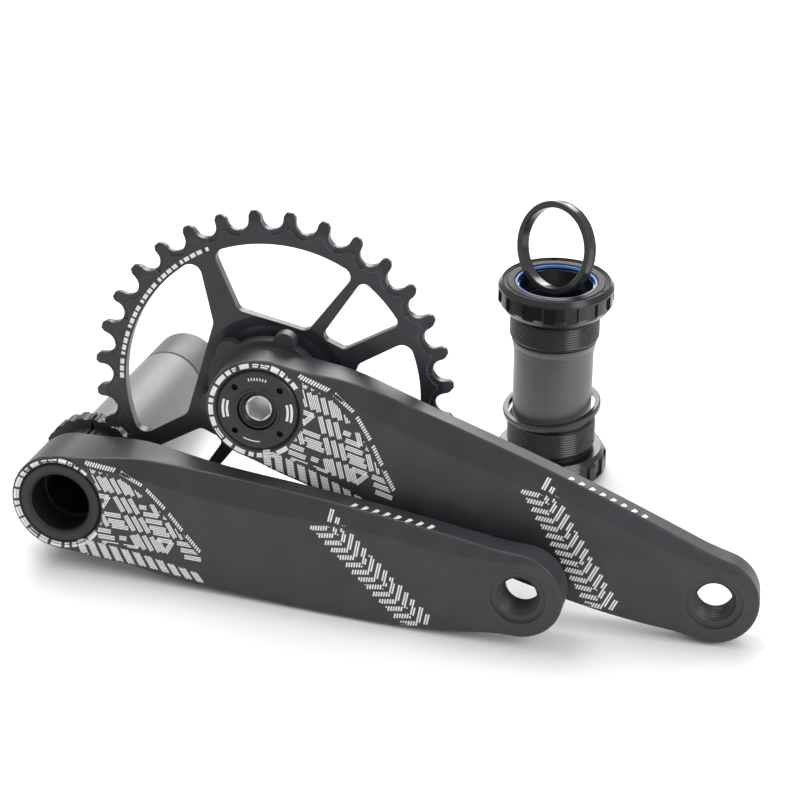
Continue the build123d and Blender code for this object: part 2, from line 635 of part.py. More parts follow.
def bearing_cage():
    """A crown cage: a ring above the balls with a finger between each pair."""
    middle = BEARING_START + BEARING_WIDTH / 2
    cage = ring_z(ball_circle() + 0.5, ball_circle() - 0.5, middle - 1.2, middle + 2.4)
    pocket = Cylinder(BALL_RADIUS + BALL_PLAY, 4.0)
    for index in range(BALL_COUNT):
        cage -= Rot(Z=360 / BALL_COUNT * index) * Pos(ball_circle(), 0, middle - 0.35) * pocket
    return cage


def bearing_shields():
    end = BEARING_START + BEARING_WIDTH
    low = ring_z(RACE_OUTER_LAND - 0.02, RACE_INNER_LAND + 0.08, BEARING_START + 0.3,
                 BEARING_START + 0.3 + SHIELD_THICKNESS)
    high = ring_z(RACE_OUTER_LAND - 0.02, RACE_INNER_LAND + 0.08, end - 0.3 - SHIELD_THICKNESS, end - 0.3)
    return Compound(children=[low, high])


def dust_cover():
    low = 0.4
    cover = turned_z((
        (COVER_INNER_RADIUS, low + 0.3), (COVER_INNER_RADIUS + 0.5, low), (19.0, low),
        (19.3, low + 0.35), (19.9, low + 0.35), (20.1, low), (BEARING_OUTER_RADIUS - 0.4, low),
        (BEARING_OUTER_RADIUS, low + 0.4), (BEARING_OUTER_RADIUS, low + COVER_THICKNESS),
        (COVER_INNER_RADIUS, low + COVER_THICKNESS),
    ))
    for index in range(3):
        cover -= Rot(Z=120 * index + 20) * Pos(20.5, 0, low) * Box(2.0, 1.4, 1.0)
    return cover


def cover_seal():
    """A lip seal set a little below the cover's outer face."""
    low = SEAL_START
    outer = COVER_INNER_RADIUS - 0.02
    return turned_z((
        (SEAL_LIP_RADIUS, low + 0.7), (SEAL_LIP_RADIUS + 0.3, low), (outer, low),
        (outer, low + 1.1), (SEAL_LIP_RADIUS + 0.3, low + 1.1),
    ))


def bracket_sleeve():
    inside = SLEEVE_RADIUS - SLEEVE_WALL
    groove = TOP_FACE - CUP_LENGTH + 4.0
    return turned_z((
        (inside, SLEEVE_BOTTOM), (SLEEVE_RADIUS - 0.3, SLEEVE_BOTTOM), (SLEEVE_RADIUS, SLEEVE_BOTTOM + 0.3),
        (SLEEVE_RADIUS, SLEEVE_BOTTOM + 3.0), (SLEEVE_RADIUS - 0.4, SLEEVE_BOTTOM + 3.0),
        (SLEEVE_RADIUS - 0.4, SLEEVE_BOTTOM + 4.2), (SLEEVE_RADIUS, SLEEVE_BOTTOM + 4.2),
        (SLEEVE_RADIUS, SLEEVE_COLLAR_BOTTOM - 0.6), (SLEEVE_RADIUS + 0.45, SLEEVE_COLLAR_BOTTOM),
        (SLEEVE_RADIUS + 0.45, SLEEVE_COLLAR_BOTTOM + 1.2), (SLEEVE_COLLAR_RADIUS, SLEEVE_COLLAR_TOP - 0.8),
        (SLEEVE_COLLAR_RADIUS, SLEEVE_COLLAR_TOP), (SLEEVE_RADIUS, SLEEVE_COLLAR_TOP),
        (SLEEVE_RADIUS, groove), (SLEEVE_RADIUS - 0.4, groove), (SLEEVE_RADIUS - 0.4, groove + 1.2),
        (SLEEVE_RADIUS, groove + 1.2), (SLEEVE_RADIUS, SLEEVE_TOP), (inside, SLEEVE_TOP),
    ))


def sleeve_o_rings():
    upper = TOP_FACE - CUP_LENGTH + 4.6
    lower = SLEEVE_BOTTOM + 3.6
    rings = [
        Pos(0, 0, upper) * Torus(SLEEVE_RADIUS - 0.4 + 0.2, 0.19),
        Pos(0, 0, lower) * Torus(SLEEVE_RADIUS - 0.4 + 0.3, 0.28),
    ]
    return Compound(children=rings)


def shell_spacer():
    half = SHELL_SPACER_THICKNESS / 2
    bevel = 0.4
    ring = turned_z((
        (SHELL_SPACER_INNER, -half), (SHELL_SPACER_OUTER - bevel, -half),
        (SHELL_SPACER_OUTER, bevel - half), (SHELL_SPACER_OUTER, half - bevel),
        (SHELL_SPACER_OUTER - bevel, half), (SHELL_SPACER_INNER, half),
    ))
    turn = Rot(Z=SHELL_SPACER_TURN) * Rot(Y=-SHELL_SPACER_TILT)
    return Pos(*BRACKET_AXIS, SHELL_SPACER_HEIGHT) * turn * ring


def spindle_spacer():
    half = SPINDLE_SPACER_WIDTH / 2
    bevel = 0.35
    ring = turned_y((
        (SPINDLE_SPACER_INNER + 0.3, -half), (SPINDLE_SPACER_OUTER - bevel, -half),
        (SPINDLE_SPACER_OUTER, bevel - half), (SPINDLE_SPACER_OUTER, 0.7),
        (SPINDLE_SPACER_OUTER - 0.35, 0.9), (SPINDLE_SPACER_OUTER - 0.35, 1.2),
        (SPINDLE_SPACER_OUTER, 1.4), (SPINDLE_SPACER_OUTER, half - bevel),
        (SPINDLE_SPACER_OUTER - bevel, half), (SPINDLE_SPACER_INNER + 0.3, half),
        (SPINDLE_SPACER_INNER, half - 0.3), (SPINDLE_SPACER_INNER, 0.3 - half),
    ))
    return Pos(*SPINDLE_SPACER_CENTRE) * Rot(Z=SPINDLE_SPACER_TURN) * Rot(X=-SPINDLE_SPACER_LEAN) * ring


# ------------------------------------------------------------------- output
def write(name, shape):
    export_step(shape, f"parts/{name}.step")


os.makedirs("parts", exist_ok=True)

write("drive_arm", drive_place * drive_arm())
write("chainring", drive_place * chainring())
write("chainring_bolts", drive_place * chainring_bolts())
write("extractor_cap", drive_place * extractor_cap())
write("crank_bolt", drive_place * crank_bolt())
write("bolt_washer", drive_place * bolt_washer())

write("non_drive_arm", plain_place * non_drive_arm())
write("spindle", plain_place * spindle())
write("preload_adjuster", plain_place * preload_adjuster())
write("pinch_screw", plain_place * pinch_screw())
write("preload_washer", plain_place * preload_washer())

for side, place in (("right", upper_cup_place), ("left", lower_cup_place)):
    write(f"{side}_cup", place * bracket_cup(side == "right"))
    write(f"{side}_outer_race", place * bearing_outer_race())
    write(f"{side}_inner_race", place * bearing_inner_race())
    write(f"{side}_bearing_balls", place * bearing_balls())
    write(f"{side}_bearing_cage", place * bearing_cage())
    write(f"{side}_bearing_shields", place * bearing_shields())
    write(f"{side}_dust_cover", place * dust_cover())
    write(f"{side}_cover_seal", place * cover_seal())

write("bracket_sleeve", Pos(*BRACKET_AXIS, 0) * bracket_sleeve())
write("sleeve_o_rings", Pos(*BRACKET_AXIS, 0) * sleeve_o_rings())
write("shell_spacer", shell_spacer())
write("spindle_spacer", spindle_spacer())
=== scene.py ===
import json
import math
import random

import bmesh
import bpy
from mathutils import Matrix, Vector
from mathutils.bvhtree import BVHTree


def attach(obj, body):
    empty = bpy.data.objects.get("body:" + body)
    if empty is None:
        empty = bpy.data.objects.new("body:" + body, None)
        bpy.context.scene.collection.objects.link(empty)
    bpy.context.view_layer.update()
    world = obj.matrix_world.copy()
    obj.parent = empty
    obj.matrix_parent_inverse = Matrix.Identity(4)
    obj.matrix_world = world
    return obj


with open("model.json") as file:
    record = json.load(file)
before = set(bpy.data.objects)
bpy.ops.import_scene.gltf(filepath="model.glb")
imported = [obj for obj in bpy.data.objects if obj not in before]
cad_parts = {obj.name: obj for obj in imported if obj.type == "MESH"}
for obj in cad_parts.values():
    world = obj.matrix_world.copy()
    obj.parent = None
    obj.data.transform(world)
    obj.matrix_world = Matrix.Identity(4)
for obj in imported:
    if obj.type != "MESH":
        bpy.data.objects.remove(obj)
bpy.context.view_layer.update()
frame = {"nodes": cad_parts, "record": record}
joints = {joint["name"]: joint for joint in frame["record"]["behaviour"]["joints"]}
mounts = {mount["name"]: mount for mount in frame["record"]["mounts"]}
MM = 0.001

# ------------------------------------------------------------ driving values
PRINT_LIFT = 0.03 * MM        # how far printed marks stand off the surface
PRINT_STEP = 2.5 * MM         # longest piece of a printed stripe
STRIPE_PITCH = 0.95
STRIPE_WIDTH = 0.58
SOCKET_RADIUS = 4.8           # the bolt's socket is bare steel
BARREL_START = 5.0            # the spindle is dark from its mouth to here, outside the adjuster
FREE_END_LENGTH = 25.0        # and darker again past its end groove
BORE_SHADE_LIMIT = 13.0             # and near-black inside its bore, which is painted shade
RAY_START = 0.2               # how far off a ray starts to find a surface, in metres
TOP_DASH_EDGE = 12.0          # where across the arm its face's upper edge is looked for
BOSS_RING_SPAN = (52, 318)    # degrees from the arm's own direction
BOSS_RING_RADIUS = 17.2
BOSS_RING_WIDTH = 1.7
MAZE_CELL = 8.2
MAZE_STROKE = 1.9
MAZE_BORDER = (               # hatched strips round the patch, as (along, across) ends
    ((10, 18.2), (22, 17.6)),
    ((24, 17.2), (33, 13.6)),
    ((34, 12.8), (42, 6.0)),
    ((43, 4.8), (49, -1.4)),
    ((50, -2.6), (56, -8.4)),
)
BAND_START = (101.5, 15.2)    # the upper end of the diagonal band of chevrons
BAND_ANGLE = -40.5
RIM_PRINT_RADIUS = 57.1       # middle of the flat rim
RIDGE_OFFSET = 0.02           # how far the foot of a thread ridge stands off the plain wall
RIDGE_ROOT_DEPTH = 0.2        # how deep the ridges' closed side lies in the metal
PEDAL_THREAD_PITCH = 1.27     # 20 threads to the inch
CUP_THREAD_PITCH = 25.4 / 24  # 24 threads to the inch
CAMERA_PLACE = Vector((0.1244, -0.6913, 0.4206))
CAMERA_TARGET = Vector((-0.0091, 0.0391, 0.0300))
CAMERA_LENS = 93.9


# ----------------------------------------------------------------- materials
class Finish:
    """A principled material that is built up one effect at a time."""

    def __init__(self, name, colour, roughness, metallic=0.0):
        self.material = bpy.data.materials.new(name)
        self.material.use_nodes = True
        self.nodes = self.material.node_tree.nodes
        self.links = self.material.node_tree.links
        self.shader = self.nodes["Principled BSDF"]
        self.colour = colour
        self.roughness = roughness
        self.shader.inputs["Base Color"].default_value = (*colour, 1)
        self.shader.inputs["Roughness"].default_value = roughness
        self.shader.inputs["Metallic"].default_value = metallic
        self.place = self.nodes.new("ShaderNodeTexCoord").outputs["Object"]
        self.normal = None
        self.base = None

    def set(self, **values):
        for key, value in values.items():
            self.shader.inputs[key.replace("_", " ")].default_value = value
        return self

    def noise(self, scale, detail=3.0, stretch=(1, 1, 1)):
        mapping = self.nodes.new("ShaderNodeMapping")
        mapping.inputs["Scale"].default_value = stretch
        self.links.new(self.place, mapping.inputs["Vector"])
        texture = self.nodes.new("ShaderNodeTexNoise")
        texture.inputs["Scale"].default_value = scale
        texture.inputs["Detail"].default_value = detail
        self.links.new(mapping.outputs["Vector"], texture.inputs["Vector"])
        return texture.outputs["Fac"]

    def scaled(self, value, low, high):
        span = self.nodes.new("ShaderNodeMapRange")
        span.inputs["From Min"].default_value = 0.3
        span.inputs["From Max"].default_value = 0.7
        span.inputs["To Min"].default_value = low
        span.inputs["To Max"].default_value = high
        self.links.new(value, span.inputs["Value"])
        return span.outputs["Result"]

    def soft_edges(self, radius=0.25):
        """Rounds the shading of sharp edges, as a tumbled or moulded edge has it."""
        bevel = self.nodes.new("ShaderNodeBevel")
        bevel.samples = 4
        bevel.inputs["Radius"].default_value = radius * MM
        self.normal = bevel.outputs["Normal"]
        self.links.new(self.normal, self.shader.inputs["Normal"])
        return self

    def bump(self, height, strength, distance):
        bump = self.nodes.new("ShaderNodeBump")
        bump.inputs["Strength"].default_value = strength
        bump.inputs["Distance"].default_value = distance * MM
        self.links.new(height, bump.inputs["Height"])
        if self.normal:
            self.links.new(self.normal, bump.inputs["Normal"])
        self.normal = bump.outputs["Normal"]
        self.links.new(self.normal, self.shader.inputs["Normal"])
        return self

    def grain(self, scale, strength, distance=0.05, stretch=(1, 1, 1)):
        return self.bump(self.noise(scale, 4.0, stretch), strength, distance)

    def uneven_sheen(self, scale, spread, stretch=(1, 1, 1)):
        low, high = self.roughness - spread, self.roughness + spread
        value = self.scaled(self.noise(scale, 4.0, stretch), low, high)
        self.links.new(value, self.shader.inputs["Roughness"])
        return self

    def uneven_colour(self, scale, spread, stretch=(1, 1, 1)):
        mix = self.nodes.new("ShaderNodeMix")
        mix.data_type = "RGBA"
        mix.inputs[6].default_value = (*[part * (1 - spread) for part in self.colour], 1)
        mix.inputs[7].default_value = (*[part * (1 + spread) for part in self.colour], 1)
        self.links.new(self.scaled(self.noise(scale, 3.0, stretch), 0, 1), mix.inputs[0])
        self.base = mix.outputs[2]
        self.links.new(self.base, self.shader.inputs["Base Color"])
        return self

    def worn_edges(self, radius, colour, amount):
        """Shows a paler tone where the surface turns sharply."""
        bevel = self.nodes.new("ShaderNodeBevel")
        bevel.samples = 4
        bevel.inputs["Radius"].default_value = radius * MM
        flat = self.nodes.new("ShaderNodeNewGeometry").outputs["Normal"]
        match = self.nodes.new("ShaderNodeVectorMath")
        match.operation = "DOT_PRODUCT"
        self.links.new(bevel.outputs["Normal"], match.inputs[0])
        self.links.new(flat, match.inputs[1])
        ramp = self.nodes.new("ShaderNodeMapRange")
        ramp.inputs["From Min"].default_value = 0.97
        ramp.inputs["From Max"].default_value = 0.80
        ramp.inputs["To Min"].default_value = 0.0
        ramp.inputs["To Max"].default_value = amount
        self.links.new(match.outputs["Value"], ramp.inputs["Value"])
        mix = self.nodes.new("ShaderNodeMix")
        mix.data_type = "RGBA"
        self.links.new(ramp.outputs["Result"], mix.inputs[0])
        self.links.new(self.base, mix.inputs[6])
        mix.inputs[7].default_value = (*colour, 1)
        self.base = mix.outputs[2]
        self.links.new(self.base, self.shader.inputs["Base Color"])
        return self


def axis_distances(finish, origin, axis):
    """How far a point is along an axis and away from it, in metres."""
    offset = finish.nodes.new("ShaderNodeVectorMath")
    offset.operation = "SUBTRACT"
    finish.links.new(finish.place, offset.inputs[0])
    offset.inputs[1].default_value = origin
    along = finish.nodes.new("ShaderNodeVectorMath")
    along.operation = "DOT_PRODUCT"
    finish.links.new(offset.outputs["Vector"], along.inputs[0])
    along.inputs[1].default_value = Vector(axis).normalized()
    side = finish.nodes.new("ShaderNodeVectorMath")
    side.operation = "CROSS_PRODUCT"
    finish.links.new(offset.outputs["Vector"], side.inputs[0])
    side.inputs[1].default_value = Vector(axis).normalized()
    away = finish.nodes.new("ShaderNodeVectorMath")
    away.operation = "LENGTH"
    finish.links.new(side.outputs["Vector"], away.inputs[0])
    return along.outputs["Value"], away.outputs["Value"]


def zone_colour(finish, distance, limit, colour):
    """Gives the surface another colour where a distance is under a limit in mm."""
    inside = finish.nodes.new("ShaderNodeMath")
    inside.operation = "LESS_THAN"
    finish.links.new(distance, inside.inputs[0])
    inside.inputs[1].default_value = limit * MM
    mix = finish.nodes.new("ShaderNodeMix")
    mix.data_type = "RGBA"
    finish.links.new(inside.outputs[0], mix.inputs[0])
    finish.links.new(finish.base, mix.inputs[6])
    mix.inputs[7].default_value = (*colour, 1)
    finish.base = mix.outputs[2]
    finish.links.new(finish.base, finish.shader.inputs["Base Color"])
    return finish


def arm_finish():
    finish = Finish("arm_black", (0.027, 0.0265, 0.032), 0.44)
    finish.uneven_colour(90, 0.18).worn_edges(0.8, (0.12, 0.115, 0.115), 0.5)
    finish.soft_edges(0.5).grain(1700, 0.45, 0.08)
    return finish.uneven_sheen(60, 0.05).material


def ring_finish():
    finish = Finish("ring_black", (0.021, 0.0205, 0.028), 0.36)
    finish.uneven_colour(120, 0.15).worn_edges(0.5, (0.16, 0.16, 0.18), 0.8)
    finish.soft_edges(0.3).grain(3200, 0.16, 0.04)
    return finish.uneven_sheen(80, 0.05).material


def cap_finish():
    finish = Finish("cap_black", (0.012, 0.012, 0.014), 0.36)
    finish.uneven_colour(150, 0.1).worn_edges(0.3, (0.10, 0.10, 0.11), 0.5)
    return finish.soft_edges(0.2).grain(3600, 0.10, 0.03).material


def bolt_finish():
    finish = Finish("bolt_steel", (0.42, 0.42, 0.43), 0.24, 1.0)
    finish.uneven_colour(200, 0.12).worn_edges(0.2, (0.75, 0.75, 0.76), 0.5)
    return finish.soft_edges(0.15).grain(1500, 0.08, 0.02, (1, 6, 1)).uneven_sheen(300, 0.08).material


def crank_bolt_finish():
    finish = Finish("bolt_black", (0.018, 0.018, 0.02), 0.30, 0.4)
    finish.uneven_colour(200, 0.12).worn_edges(0.2, (0.25, 0.25, 0.26), 0.6)
    bolt = joints["crank_bolt_turn"]
    _, away = axis_distances(finish, bolt["pos_m"], bolt["axis"])
    zone_colour(finish, away, SOCKET_RADIUS, (0.62, 0.62, 0.64))
    return finish.soft_edges(0.15).grain(1500, 0.08, 0.02).material


def spindle_finish():
    finish = Finish("spindle_grey", (0.20, 0.20, 0.208), 0.52, 0.1)
    finish.uneven_colour(40, 0.05).worn_edges(0.4, (0.32, 0.32, 0.33), 0.4)
    adjuster = joints["preload_adjuster_turn"]
    place = Vector(adjuster["pos_m"])
    outward = Vector(adjuster["axis"]).normalized()
    points = frame["nodes"]["spindle"].data.vertices
    free_end = min((point.co - place).dot(outward) for point in points) / MM
    along, _ = axis_distances(finish, place, outward)
    zone_colour(finish, along, free_end + FREE_END_LENGTH, (0.105, 0.103, 0.112))
    along, away = axis_distances(finish, place, -outward)
    zone_colour(finish, along, -BARREL_START, (0.018, 0.018, 0.022))
    # painted shade: inside the bore the colour is near-black, standing in for the shadow there
    zone_colour(finish, away, BORE_SHADE_LIMIT, (0.008, 0.008, 0.009))
    return finish.soft_edges(0.2).grain(3000, 0.10, 0.02).uneven_sheen(40, 0.05).material


def adjuster_finish():
    finish = Finish("adjuster_black", (0.022, 0.022, 0.026), 0.48)
    finish.uneven_colour(200, 0.15).worn_edges(0.3, (0.07, 0.07, 0.08), 0.4)
    return finish.soft_edges(0.25).grain(1800, 0.2, 0.04).material


def cup_finish():
    finish = Finish("cup_black", (0.012, 0.012, 0.014), 0.22)
    finish.uneven_colour(160, 0.1).worn_edges(0.35, (0.12, 0.12, 0.13), 0.5)
    finish.soft_edges(0.3).grain(2600, 0.06, 0.02)
    return finish.uneven_sheen(90, 0.04).material


def sleeve_finish():
    finish = Finish("sleeve_grey", (0.10, 0.098, 0.10), 0.34)
    finish.uneven_colour(70, 0.10).worn_edges(0.3, (0.16, 0.16, 0.16), 0.3)
    return finish.soft_edges(0.2).grain(900, 0.10, 0.05).uneven_sheen(50, 0.06).material


def cover_finish():
    finish = Finish("cover_black", (0.011, 0.011, 0.014), 0.50).set(Specular_IOR_Level=0.2)
    finish.uneven_colour(160, 0.1).worn_edges(0.25, (0.08, 0.08, 0.09), 0.4)
    return finish.soft_edges(0.2).grain(2000, 0.08, 0.02).material


def seal_finish():
    finish = Finish("seal_blue", (0.020, 0.15, 0.46), 0.42)
    finish.uneven_colour(200, 0.1)
    return finish.soft_edges(0.15).grain(1400, 0.12, 0.03).material


def spacer_finish():
    finish = Finish("spacer_black", (0.050, 0.050, 0.053), 0.20, 0.6)
    finish.uneven_colour(160, 0.12).worn_edges(0.3, (0.14, 0.14, 0.14), 0.6)
    return finish.soft_edges(0.2).grain(2400, 0.05, 0.02).uneven_sheen(200, 0.06).material


def rubber_finish():
    finish = Finish("shield_rubber", (0.015, 0.015, 0.016), 0.55)
    finish.uneven_colour(200, 0.1)
    return finish.soft_edges(0.1).grain(1500, 0.2, 0.03).material


def cage_finish():
    finish = Finish("cage_plastic", (0.45, 0.40, 0.28), 0.5)
    finish.uneven_colour(200, 0.08)
    return finish.soft_edges(0.1).grain(1200, 0.1, 0.03).material


def race_finish():
    finish = Finish("race_steel", (0.58, 0.58, 0.60), 0.18, 1.0)
    finish.uneven_colour(200, 0.06)
    return finish.soft_edges(0.1).grain(2000, 0.05, 0.01, (1, 1, 8)).material


def print_finish():
    finish = Finish("print_white", (0.78, 0.77, 0.76), 0.55)
    finish.uneven_colour(600, 0.06)
    return finish.grain(3000, 0.1, 0.02).material


def paint(material, *names):
    for name in names:
        for spot in frame["nodes"][name].material_slots:
            spot.material = material


def paint_all():
    paint(arm_finish(), "drive_arm", "non_drive_arm")
    paint(ring_finish(), "chainring")
    paint(cap_finish(), "extractor_cap")
    paint(bolt_finish(), "chainring_bolts", "bolt_washer", "pinch_screw")
    paint(crank_bolt_finish(), "crank_bolt")
    paint(spindle_finish(), "spindle")
    paint(adjuster_finish(), "preload_adjuster", "preload_washer")
    paint(sleeve_finish(), "bracket_sleeve")
    paint(spacer_finish(), "shell_spacer", "spindle_spacer")
    paint(rubber_finish(), "sleeve_o_rings")
    cup, cover, seal = cup_finish(), cover_finish(), seal_finish()
    race, cage, shield = race_finish(), cage_finish(), rubber_finish()
    for side in ("right", "left"):
        paint(cup, f"{side}_cup")
        paint(cover, f"{side}_dust_cover")
        paint(seal, f"{side}_cover_seal")
        paint(race, f"{side}_outer_race", f"{side}_inner_race", f"{side}_bearing_balls")
        paint(cage, f"{side}_bearing_cage")
        paint(shield, f"{side}_bearing_shields")


# ---------------------------------------------------------------- crank axes
class CrankAxes:
    """The axes of one crank: along the arm, across it, and out of its face."""

    def __init__(self, node, on_axis, out, pedal):
        self.out = Vector(out).normalized()
        self.origin = Vector(on_axis)
        reach = Vector(pedal) - self.origin
        self.along = (reach - self.out * reach.dot(self.out)).normalized()
        self.across = self.out.cross(self.along)
        self.look_at(node)

    def look_at(self, node):
        """Chooses the piece whose surface the places are found on."""
        source = frame["nodes"][node]
        self.tree = BVHTree.FromObject(source, bpy.context.evaluated_depsgraph_get())

    def on_front(self, s, z):
        """The point of the arm's outer face at s along and z across, in mm."""
        start = self.origin + (self.along * s + self.across * z) * MM + self.out * RAY_START
        hit, _, _, _ = self.tree.ray_cast(start, -self.out)
        return hit + self.out * PRINT_LIFT if hit else None

    def on_top(self, s, depth):
        """The point of the arm's upper side at s along and depth behind the face."""
        edge = self.on_front(s, TOP_DASH_EDGE)
        if edge is None:
            return None
        start = edge - self.out * depth * MM + self.across * RAY_START
        hit, normal, _, _ = self.tree.ray_cast(start, -self.across)
        return hit + normal * PRINT_LIFT if hit else None


def add_piece(data, body, material):
    """Puts a mesh into the scene as a piece that rides on a body."""
    piece = bpy.data.objects.new(data.name, data)
    bpy.context.scene.collection.objects.link(piece)
    data.materials.append(material)
    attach(piece, body)


# -------------------------------------------------------------------- prints
class Marks:
    """Collects thin printed shapes laid on a surface and makes one mesh of them."""

    def __init__(self, place):
        self.mesh = bmesh.new()
        self.place = place

    def band(self, start, end, width):
        """A straight stripe from start to end, cut short enough to lie on the surface."""
        start, end = Vector(start), Vector(end)
        length = (end - start).length
        if length < 0.15:
            return
        side = Vector((-(end - start).y, (end - start).x)) / length * width / 2
        count = max(1, math.ceil(length * MM / PRINT_STEP))
        rows = []
        for index in range(count + 1):
            middle = start.lerp(end, index / count)
            rows.append([self.place(*(middle + side)), self.place(*(middle - side))])
        for low, high in zip(rows, rows[1:]):
            corners = [low[0], low[1], high[1], high[0]]
            if all(corners):
                self.mesh.faces.new([self.mesh.verts.new(corner) for corner in corners])

    def hatched(self, outline, angle, region=None, pitch=STRIPE_PITCH, width=STRIPE_WIDTH):
        """Fills an outline with parallel stripes at an angle, kept inside a region."""
        turn = Matrix.Rotation(math.radians(-angle), 2)
        back = Matrix.Rotation(math.radians(angle), 2)
        points = [turn @ Vector(point) for point in outline]
        limit = [turn @ Vector(point) for point in region] if region else None
        lowest = min(point.y for point in points)
        highest = max(point.y for point in points)
        for step in range(math.ceil(lowest / pitch), math.floor(highest / pitch) + 1):
            level = step * pitch
            spans = crossings(points, level)
            if limit:
                spans = overlap(spans, crossings(limit, level))
            for low, high in spans:
                self.band(back @ Vector((low, level)), back @ Vector((high, level)), width)

    def arc(self, radius, start, end, width):
        """A stripe that follows a circle about the crank axis, from start to end degrees."""
        count = max(1, round(abs(end - start) / 5))
        for index in range(count):
            low = math.radians(start + (end - start) * index / count)
            high = math.radians(start + (end - start) * (index + 1) / count)
            corners = []
            for turn, size in ((low, -0.5), (low, 0.5), (high, 0.5), (high, -0.5)):
                reach = radius + size * width
                corners.append(self.place(reach * math.cos(turn), reach * math.sin(turn)))
            if all(corners):
                self.mesh.faces.new([self.mesh.verts.new(corner) for corner in corners])

    def finish(self, name, body, slot, material):
        data = bpy.data.meshes.new(name)
        bmesh.ops.remove_doubles(self.mesh, verts=self.mesh.verts, dist=1e-7)
        self.mesh.to_mesh(data)
        self.mesh.free()
        add_piece(data, body, material)


def crossings(points, level):
    """Where a horizontal line crosses a closed outline, as pairs."""
    cuts = []
    for first, second in zip(points, points[1:] + points[:1]):
        if (first.y > level) != (second.y > level):
            share = (level - first.y) / (second.y - first.y)
            cuts.append(first.x + share * (second.x - first.x))
    cuts.sort()
    return list(zip(cuts[::2], cuts[1::2]))


def overlap(spans, limits):
    shared = []
    for low, high in spans:
        for start, end in limits:
            if min(high, end) - max(low, start) > 0.1:
                shared.append((max(low, start), min(high, end)))
    return shared


def bar(first, second, width):
    """A straight bar between two points as a four-cornered outline."""
    first, second = Vector(first), Vector(second)
    side = Vector((-(second - first).y, (second - first).x)).normalized() * width / 2
    return [first + side, second + side, second - side, first - side]


def maze_bars(cell, stroke):
    """Bars of nested corners and strips on a slanted grid, chosen by a simple rule."""
    down = Vector(around(1, -58)) * cell
    level = Vector(around(1, 2)) * cell
    patterns = (
        (((0.15, 0.1), (0.15, 0.9)), ((0.5, 0.1), (0.5, 0.9)), ((0.85, 0.1), (0.85, 0.9))),
        (((0.15, 0.15), (0.15, 0.85)), ((0.15, 0.85), (0.85, 0.15)), ((0.85, 0.15), (0.15, 0.15))),
        (((0.1, 0.15), (0.9, 0.15)), ((0.1, 0.5), (0.9, 0.5)), ((0.1, 0.85), (0.9, 0.85))),
        (((0.85, 0.15), (0.85, 0.85)), ((0.85, 0.85), (0.2, 0.85)), ((0.45, 0.15), (0.45, 0.5))),
    )
    bars = []
    for row in range(-5, 8):
        for column in range(-8, 12):
            corner = down * row + level * column
            for first, second in patterns[(row + 2 * column + row * column) % len(patterns)]:
                start = corner + down * first[0] + level * first[1]
                end = corner + down * second[0] + level * second[1]
                run = end - start
                bars.append((bar(start, end, stroke), math.degrees(math.atan2(run.y, run.x))))
    return bars


def boss_ring(marks, start, end, radius, width):
    """Broken stripes of uneven length round the boss."""
    chooser = random.Random(7)
    angle = start
    while angle < end:
        length = chooser.uniform(5, 17)
        if chooser.random() < 0.55:
            for lane in range(-2, 3):
                marks.arc(radius + lane * width / 5, angle, angle + length, width / 4.6)
        else:
            marks.arc(radius + width * 0.24, angle, angle + length, width * 0.32)
            marks.arc(radius - width * 0.24, angle + 1, angle + length, width * 0.32)
        angle += length + chooser.uniform(2.0, 4.5)


def lower_chevrons(marks, edge):
    """Slanted bars in a row along the arm's lower edge beside the boss."""
    for index in range(11):
        s = 6.0 + 4.6 * index
        low = edge(s)
        height = 6.6 - 0.30 * index
        outline = [(s, low + height), (s + 3.0, low + height), (s + 6.0, low), (s + 3.0, low)]
        marks.hatched(outline, 28, None, 0.60, 0.46)


def diagonal_band(marks):
    """A slanting row of nested hatched chevrons across the arm."""
    run = Vector(around(1, BAND_ANGLE))
    rise = Vector((-run.y, run.x))
    start = Vector(BAND_START)
    step, height, stroke = 3.6, 5.4, 1.8

    def spot(index, u, v):
        return start + run * step * (index + u) + rise * height * v

    for index in range(15):
        for side in (-1, 1):
            outline = bar(spot(index, 0, side), spot(index, 1.1, side * 0.06), stroke)
            marks.hatched(outline, 82, None, 0.92, 0.60)


def top_dashes(axes, body, name, material):
    """A row of small slanted dashes on the arm's upper side."""
    marks = Marks(axes.on_top)
    for index in range(8):
        s = 112.0 + 4.1 * index
        marks.band((s, 3.0), (s + 1.2, 6.2), 1.5)
    marks.finish(name, body, "arm_black", material)


def arm_print(axes, body, name, material):
    marks = Marks(axes.on_front)
    boss_ring(marks, *BOSS_RING_SPAN, BOSS_RING_RADIUS, BOSS_RING_WIDTH)
    region = [(12, 16.5), (24, 15.0), (38, 6.5), (58, -12.5), (44, -12.5), (20, -12.5), (8, -15.8)]
    region += [around(17.5, angle) for angle in (-60, -30, 0, 30)]
    for outline, slant in maze_bars(MAZE_CELL, MAZE_STROKE):
        marks.hatched([tuple(point) for point in outline], slant, region, 0.64, 0.44)
    for first, second in MAZE_BORDER:
        marks.hatched(bar(first, second, 1.5), 66)
    lower_chevrons(marks, lambda s: -19.3 if s < 30 else -19.3 - (s - 30) * 0.07)
    diagonal_band(marks)
    marks.finish(name, body, "arm_black", material)


def cap_print(axes, material):
    """Plain arcs in place of the cap's lettering."""
    axes.look_at("extractor_cap")
    marks = Marks(axes.on_front)
    for middle in (18, 198):
        for radius in (12.7, 11.2):
            marks.arc(radius, middle - 16, middle + 16, 0.9)
    for offset in range(-15, 16, 5):
        marks.band(around(11.4, 108 + offset), around(12.5, 108 + offset), 0.42)
    marks.arc(11.9, 262, 292, 0.4)
    marks.finish("cap_marks", "drive_crank", "cap_black", material)


def ring_print(axes, material):
    """A row of plain dashes along the chainring's rim."""
    axes.look_at("chainring")
    marks = Marks(axes.on_front)
    for index in range(24):
        start = 132 + 2.8 * index
        marks.arc(RIM_PRINT_RADIUS, start, start + (2.1 if index % 4 else 1.2), 1.5)
    marks.finish("ring_marks", "drive_crank", "ring_black", material)


